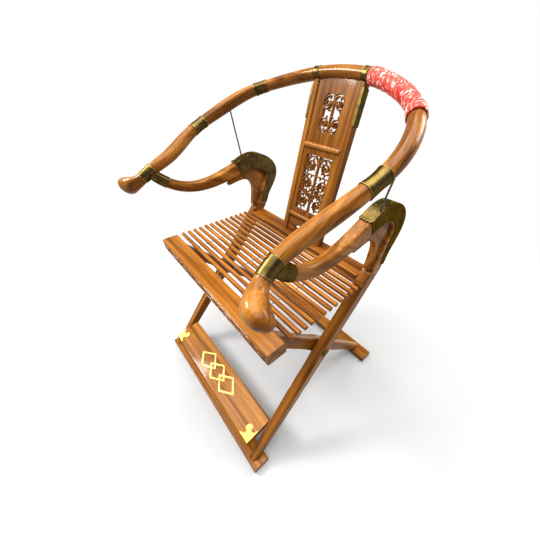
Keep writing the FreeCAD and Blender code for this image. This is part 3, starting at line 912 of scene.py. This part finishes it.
@dataclass
class RailCarving:
    """A vine of scrolls in low relief along the front of the front seat rail."""

    finish: Material
    # the ground's dark wood is painted shade for the carving's hollows
    ground: Material
    wave: float = 0.086
    rise: float = 0.0075
    stem: float = 0.0021
    margin: float = 0.014
    vine_parts: int = 8
    curl_parts: int = 16
    curl_turns: float = 1.6
    curl_drop: float = 0.25
    curl_tip: float = 0.55
    curl_reach: Pair = (1.15, 0.85)
    curl_width: float = 1.3
    line_inset: float = 0.006
    line_share: float = 0.7
    border: float = 0.005
    ground_sheet: float = 0.0003

    def build(self) -> None:
        """Draws the vine, its curls and the lines above and below."""
        low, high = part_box("front_seat_rail")
        middle = (low.z + high.z) / 2
        start, end = low.x + self.margin, high.x - self.margin
        waves = round((end - start) / self.wave)
        wave = (end - start) / waves
        vine = [self.on_vine(start, wave, step / self.vine_parts, low.y, middle)
                for step in range(self.vine_parts * waves + 1)]
        pieces = [Bench.strand(vine, self.stem)]
        for first, up in ((0, 1), (1, -1)):
            level = middle - up * self.rise * self.curl_drop
            places = [Matrix.Translation((start + wave * (half + 0.5) / 2, low.y, level))
                      for half in range(first, 2 * waves, 2)]
            pieces.append(Bench.set_out(Bench.strand(self.curl(up), self.stem, self.curl_tip), places))
        line = Bench.straight(Vector((start, low.y, 0.0)), Vector((end, low.y, 0.0)))
        heights = (low.z + self.line_inset, high.z - self.line_inset)
        places = [Matrix.Translation((0, 0, height)) for height in heights]
        pieces.append(Bench.set_out(Bench.strand(line, self.stem * self.line_share), places))
        Bench.settle(Bench.joined(pieces), "front_rail_carving", self.finish, SEAT, "frame_wood")
        self.painted_shade_ground(low, high)

    def painted_shade_ground(self, low: Vector, high: Vector) -> None:
        """Lays a thin dark ground behind the vine: painted shade, standing in for the shadow in a carved
        hollow.

        Args:
            low: the rail's lowest corner.
            high: its highest corner.
        """
        Bench.clear()
        size = high - low - Vector((1, 1, 1)) * 2 * self.border
        place = ((low.x + high.x) / 2, low.y, (low.z + high.z) / 2)
        bpy.ops.mesh.primitive_plane_add(size=1.0, location=place, rotation=(math.pi / 2, 0, 0))
        ground = bpy.context.object
        Bench.edit(ground)
        bpy.ops.transform.resize(value=(size.x, 1.0, size.z))
        bpy.ops.mesh.extrude_region_move(TRANSFORM_OT_translate={"value": (0.0, -self.ground_sheet, 0.0)})
        bpy.ops.mesh.select_all(action="SELECT")
        bpy.ops.mesh.normals_make_consistent(inside=False)
        Bench.clear()
        Bench.settle(ground, "front_rail_ground", self.ground, SEAT, "frame_wood")

    def on_vine(self, start: float, wave: float, place: float, front: float, middle: float) -> Vector:
        """Returns a point of the vine, at a place counted in waves."""
        return Vector((start + wave * place, front, middle + self.rise * math.sin(2 * math.pi * place)))

    def curl(self, up: int) -> list[Vector]:
        """Winds a curl inwards from the vine.

        Args:
            up: 1 where the vine arches over it, and -1 where it passes below.

        Returns:
            The curl's points about the origin.
        """
        points = []
        for step in range(self.curl_parts + 1):
            share = step / self.curl_parts
            angle = math.pi / 2 + 2 * math.pi * self.curl_turns * share
            reach = self.rise * (self.curl_reach[0] - self.curl_reach[1] * share)
            across = math.cos(angle) * reach * self.curl_width
            points.append(Vector((across, 0, up * math.sin(angle) * reach)))
        return points


@dataclass
class SplatCarving:
    """The splat's pierced scrolls, with their edges eased as a carver's knife leaves them."""

    finish: Material
    edge: float = 0.0013
    flat: float = 0.5
    sharp: float = 40.0
    nodes: tuple[str, ...] = ("splat_carving", "splat_tracery")

    def build(self) -> None:
        """Copies each pierced node, eases its edges and shows the copy in its place."""
        for node in self.nodes:
            piece = Bench.copied(node)
            bpy.ops.mesh.dissolve_limited(angle_limit=math.radians(self.flat))
            Bench.applied(piece, "BEVEL", width=self.edge, segments=2, limit_method="ANGLE",
                          angle_limit=math.radians(self.sharp))
            Bench.settle(piece, node + "_eased", self.finish, BACK, "frame_wood")
            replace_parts(piece, node)


@dataclass
class SplatLeaves:
    """Carved leaves that grow from the splat's scrolls into its openings."""

    finish: Material
    size: Triple = (0.0062, 0.0066, 0.0132)
    drawn_in: float = 0.5
    sunk: float = 0.35
    margin: float = 0.004
    wall_slant: float = 0.2
    crease: float = 60.0
    counts: tuple[tuple[str, int], ...] = (("splat_carving", 86), ("splat_tracery", 26))

    def build(self) -> None:
        """Grows the leaves of each pierced node."""
        for node, count in self.counts:
            leaves = Bench.set_out(self.leaf(), self.stalks(node, count))
            Bench.settle(leaves, node + "_leaves", self.finish, BACK, "frame_wood", self.crease)

    def stalks(self, node: str, count: int) -> list[Matrix]:
        """Spreads stalks evenly over the walls of a node's openings.

        Args:
            node: the pierced CAD node.
            count: how many stalks.

        Returns:
            The place of each stalk's leaf.
        """
        mesh = frame["nodes"][node].data
        places = np.array([vertex.co for vertex in mesh.vertices])
        middle = places.mean(axis=0)
        axes = np.linalg.eigh(np.cov((places - middle).T))[1].T
        reach = (places - middle) @ axes.T
        low, high = reach.min(axis=0) + self.margin, reach.max(axis=0) - self.margin
        spots, ways = [], []
        for face in mesh.polygons:
            spot = axes @ (np.array(face.center) - middle)
            inside = all(low[axis] < spot[axis] < high[axis] for axis in (1, 2))
            if inside and abs(axes[0] @ np.array(face.normal)) < self.wall_slant:
                spots.append([0.0, spot[1], spot[2]])
                ways.append(np.array(face.normal))
        spots = np.array(spots)
        chosen = [int(np.argmin(spots[:, 1] + spots[:, 2]))]
        gaps = np.linalg.norm(spots - spots[chosen[0]], axis=1)
        while len(chosen) < count:
            chosen.append(int(np.argmax(gaps)))
            gaps = np.minimum(gaps, np.linalg.norm(spots - spots[chosen[-1]], axis=1))
        out = Vector(axes[0])
        return [self.growing(Vector(middle + spots[pick] @ axes), Vector(ways[pick]), out) for pick in chosen]

    def growing(self, place: Vector, way: Vector, out: Vector) -> Matrix:
        """Finds the place of a leaf on its stalk.

        Args:
            place: where its stalk grows.
            way: the direction into the opening.
            out: the direction its face looks.

        Returns:
            The leaf's place.
        """
        side = way.cross(out).normalized()
        turn = Matrix((side, out, side.cross(out))).transposed().to_4x4()
        return Matrix.Translation(place + way * self.size[2] * (0.5 - self.sunk)) @ turn

    def leaf(self) -> Piece:
        """Shapes one leaf from a ball, each ring of its upper half drawn in towards the tip.

        Returns:
            The leaf, about the origin.
        """
        Bench.clear()
        bpy.ops.mesh.primitive_uv_sphere_add(segments=10, ring_count=8, radius=0.5)
        leaf = bpy.context.object
        Bench.edit(leaf)
        bpy.ops.transform.resize(value=self.size)
        Bench.clear()
        for height in sorted({round(vertex.co.z, 6) for vertex in leaf.data.vertices if vertex.co.z > MERGE}):
            Bench.edit(leaf)
            bpy.ops.mesh.select_all(action="DESELECT")
            bpy.ops.object.mode_set(mode="OBJECT")
            for vertex in leaf.data.vertices:
                vertex.select = abs(vertex.co.z - height) < MERGE
            bpy.ops.object.mode_set(mode="EDIT")
            narrow = 1.0 - self.drawn_in * 2 * height / self.size[2]
            bpy.ops.transform.resize(value=(narrow, 1.0, 1.0), center_override=(0.0, 0.0, 0.0))
            Bench.clear()
        return leaf


@dataclass
class SeatWires:
    """Lengths of wire from slat to slat, in place of the long straight ones."""

    finish: Material
    radius: float = 0.0011
    spread: float = 0.192
    overlap: float = 0.0005

    def build(self) -> None:
        """Strings three lengths from each loose slat towards its rail, and three to the rear rail."""
        names = sorted(name for name in frame["nodes"] if name.startswith("seat_slat_"))
        boxes = [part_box(name) for name in names]
        middles = [(low + high) / 2 for low, high in boxes]
        half = (middles[1].y - middles[0].y) / 2
        bore = (boxes[0][1].y - boxes[0][0].y) / 2
        joints = {joint["child"]: joint for joint in frame["record"]["behaviour"]["joints"]}
        drops = [joints.get(name.replace("seat_", "")) for name in names]
        for number in range(1, len(names) - 1):
            rail = drops[number]["parent"]
            step = -1 if rail == SEAT else 1
            side = Vector((0, step, 0))
            near = middles[number + step] - side * (half if number + step == 0 else bore)
            away = drops[number - step]
            past = half if away and away["parent"] != rail else bore
            wire = self.strung(near, middles[number] - side * past, "wire_" + names[number][-2:], None)
            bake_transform(wire)
        front, rear = middles[-1].copy(), middles[-1].copy()
        front.y -= bore
        rear.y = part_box("rear_seat_rail")[0].y + self.overlap
        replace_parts(self.strung(front, rear, "wire_" + names[-1][-2:], BACK), "seat_wires_rear")

    @staticmethod
    def still_point(near: Vector, own: Vector, share: float) -> Vector:
        """Finds where a blend starts, for a share of the travel at one bore and all of it at the next.

        Args:
            near: the mouth of the nearer slat's bore.
            own: the facing mouth of the bore that the wire goes with.
            share: the nearer slat's travel as a share of the other's.

        Returns:
            The point at which the blend starts.
        """
        place = 0.5 - math.sin(math.asin(1.0 - 2.0 * share) / 3.0)
        return own + (near - own) / (1.0 - place)

    def strung(self, start: Vector, end: Vector, name: str, body: str | None) -> Piece:
        """Strings three lengths of wire side by side.

        Args:
            start: where the middle one starts.
            end: where it ends.
            name: the piece's name.
            body: the body that they ride on, if any.

        Returns:
            The piece.
        """
        wire = Bench.strand(Bench.straight(start, end), self.radius)
        places = [Matrix.Translation((x, 0, 0)) for x in (-self.spread, 0.0, self.spread)]
        return Bench.settle(Bench.set_out(wire, places), name, self.finish, body, "dark_steel")


@dataclass
class ArmWrap:
    """The red cloth round the back of one arm: a snug, creased tube."""

    finish: Material
    voxel: float = 0.0022
    crease: float = 0.0022
    crease_size: float = 0.020
    crease_depth: int = 3
    crease_level: float = 0.45
    smooth: float = 180.0
    flat: Pair = (0.145, 0.262)

    def build(self) -> None:
        """Crumples a copy of the plain wrap and shows it in its place."""
        piece = Bench.copied("arm_wrap")
        Bench.applied(piece, "REMESH", mode="VOXEL", voxel_size=self.voxel)
        creases = bpy.data.textures.new("creases", "CLOUDS")
        creases.noise_scale = self.crease_size
        creases.noise_depth = self.crease_depth
        Bench.applied(piece, "DISPLACE", texture=creases, texture_coords="LOCAL", strength=self.crease,
                      mid_level=self.crease_level)
        Bench.settle(piece, "cloth_wrap", self.finish, BACK, "red_wrap", self.smooth)
        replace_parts(piece, "arm_wrap")


@dataclass(frozen=True)
class Lamp:
    """A soft square light."""

    name: str
    place: Triple
    power: float
    size: float

    def hang(self, aim: Triple) -> None:
        """Hangs the light so that it faces a point.

        Args:
            aim: the point.
        """
        data = bpy.data.lights.new(self.name, "AREA")
        data.energy = self.power
        data.size = self.size
        lamp = bpy.data.objects.new(self.name, data)
        lamp.location = self.place
        lamp.rotation_euler = (Vector(aim) - Vector(self.place)).to_track_quat("-Z", "Y").to_euler()
        bpy.context.scene.collection.objects.link(lamp)


@dataclass
class Studio:
    """A pale floor, soft lights and the camera at the photograph's place."""

    camera_place: Triple = (0.5688, -0.3672, 1.0156)
    camera_turn: Triple = (51.42, -1.167, 46.73)
    lens: float = 16.32
    sensor: float = 36.0
    shift: Pair = (-0.0646, -0.0071)
    nearest: float = 0.02
    floor_half: float = 1.7
    floor_drop: float = 0.0005
    floor_grey: float = 0.38
    floor_roughness: float = 0.9
    lamps: tuple[Lamp, ...] = (
        Lamp("key_light", (-2.2, -1.6, 2.9), 130.0, 0.9),
        Lamp("sky_light", (0.0, 0.0, 6.5), 1080.0, 7.0),
        Lamp("rim_light", (1.0, 2.4, 2.2), 50.0, 1.2),
    )
    lamp_aim: Triple = (0.0, 0.0, 0.5)
    backdrop_way: Triple = (-0.73, 0.68, 0.0)
    backdrop_sides: Pair = (-0.5, 0.50)
    backdrop_top: Pair = (0.22, 0.75)
    horizon: Pair = (-0.02, 0.30)
    room_light: float = 0.24
    gamma: float = 0.80

    def build(self) -> None:
        """Makes the floor, the lights and the camera."""
        self.floor()
        for lamp in self.lamps:
            lamp.hang(self.lamp_aim)
        self.surroundings()
        self.camera()

    def floor(self) -> None:
        """Lays a dull floor just below the feet."""
        bpy.ops.object.select_all(action="DESELECT")
        bpy.ops.mesh.primitive_plane_add(size=2 * self.floor_half, location=(0, 0, -self.floor_drop))
        floor = bpy.context.object
        floor.name = "studio_floor"
        sketch = MaterialSketch("pale_floor")
        sketch.set(Base_Color=(*[self.floor_grey] * 3, 1.0), Roughness=self.floor_roughness)
        floor.data.materials.append(sketch.material)

    def surroundings(self) -> None:
        """Sets a white backdrop behind the chair, with the rest of the room dim."""
        world = bpy.data.worlds.new("studio_world")
        world.use_nodes = True
        sketch = NodeSketch(world.node_tree)
        look = sketch.add("ShaderNodeTexCoord").outputs["Generated"]
        split = sketch.add("ShaderNodeSeparateXYZ")
        sketch.link(look, split.inputs["Vector"])
        height = split.outputs["Z"]
        facing = sketch.add("ShaderNodeVectorMath", operation="DOT_PRODUCT")
        facing.inputs[1].default_value = self.backdrop_way
        sketch.link(look, facing.inputs[0])

        sides = sketch.spread(facing.outputs["Value"], 0.0, 1.0, *self.backdrop_sides)
        backdrop = sketch.combine("MULTIPLY", sides, sketch.spread(height, 1.0, 0.0, *self.backdrop_top))
        white = sketch.combine("MAXIMUM", backdrop, sketch.spread(height, 1.0, 0.0, *self.horizon))
        background = world.node_tree.nodes["Background"]
        sketch.link(sketch.spread(white, self.room_light, 1.0), background.inputs["Strength"])
        background.inputs["Color"].default_value = (*WHITE, 1.0)
        bpy.context.scene.world = world
        bpy.context.scene.view_settings.view_transform = "Standard"
        bpy.context.scene.view_settings.gamma = self.gamma

    def camera(self) -> None:
        """Sets the camera that the photograph was solved for."""
        data = bpy.data.cameras.new("photo_camera")
        data.sensor_width = self.sensor
        data.lens = self.lens
        data.shift_x, data.shift_y = self.shift
        data.clip_start = self.nearest
        eye = bpy.data.objects.new("photo_camera", data)
        eye.location = self.camera_place
        eye.rotation_euler = Euler([math.radians(turn) for turn in self.camera_turn])
        bpy.context.scene.collection.objects.link(eye)
        bpy.context.scene.camera = eye


def main() -> None:
    """Builds and dresses the chair."""
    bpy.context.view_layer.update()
    finishes = Finishes()
    finishes.dress_frame()
    # finishes.rim is the lighter brass with the painted highlight, used for rims, nails and rosettes
    BrassRims(finishes.rim).build()
    CasingTrim(finishes.rim, finishes.brass, finishes.steel).build()
    Rosettes(finishes.rim).build()
    FootrestNails(finishes.rim).build()
    # the rail carving's second finish is painted shade on its ground
    RailCarving(finishes.wood(Finishes.across), finishes.painted_shade_wood).build()
    carved = finishes.wood(Finishes.long_way("splat_stile_left"))
    SplatCarving(carved).build()
    SplatLeaves(carved).build()
    SeatWires(finishes.steel).build()
    ArmWrap(finishes.cloth).build()
    Studio().build()


if __name__ == "__main__":
    main()
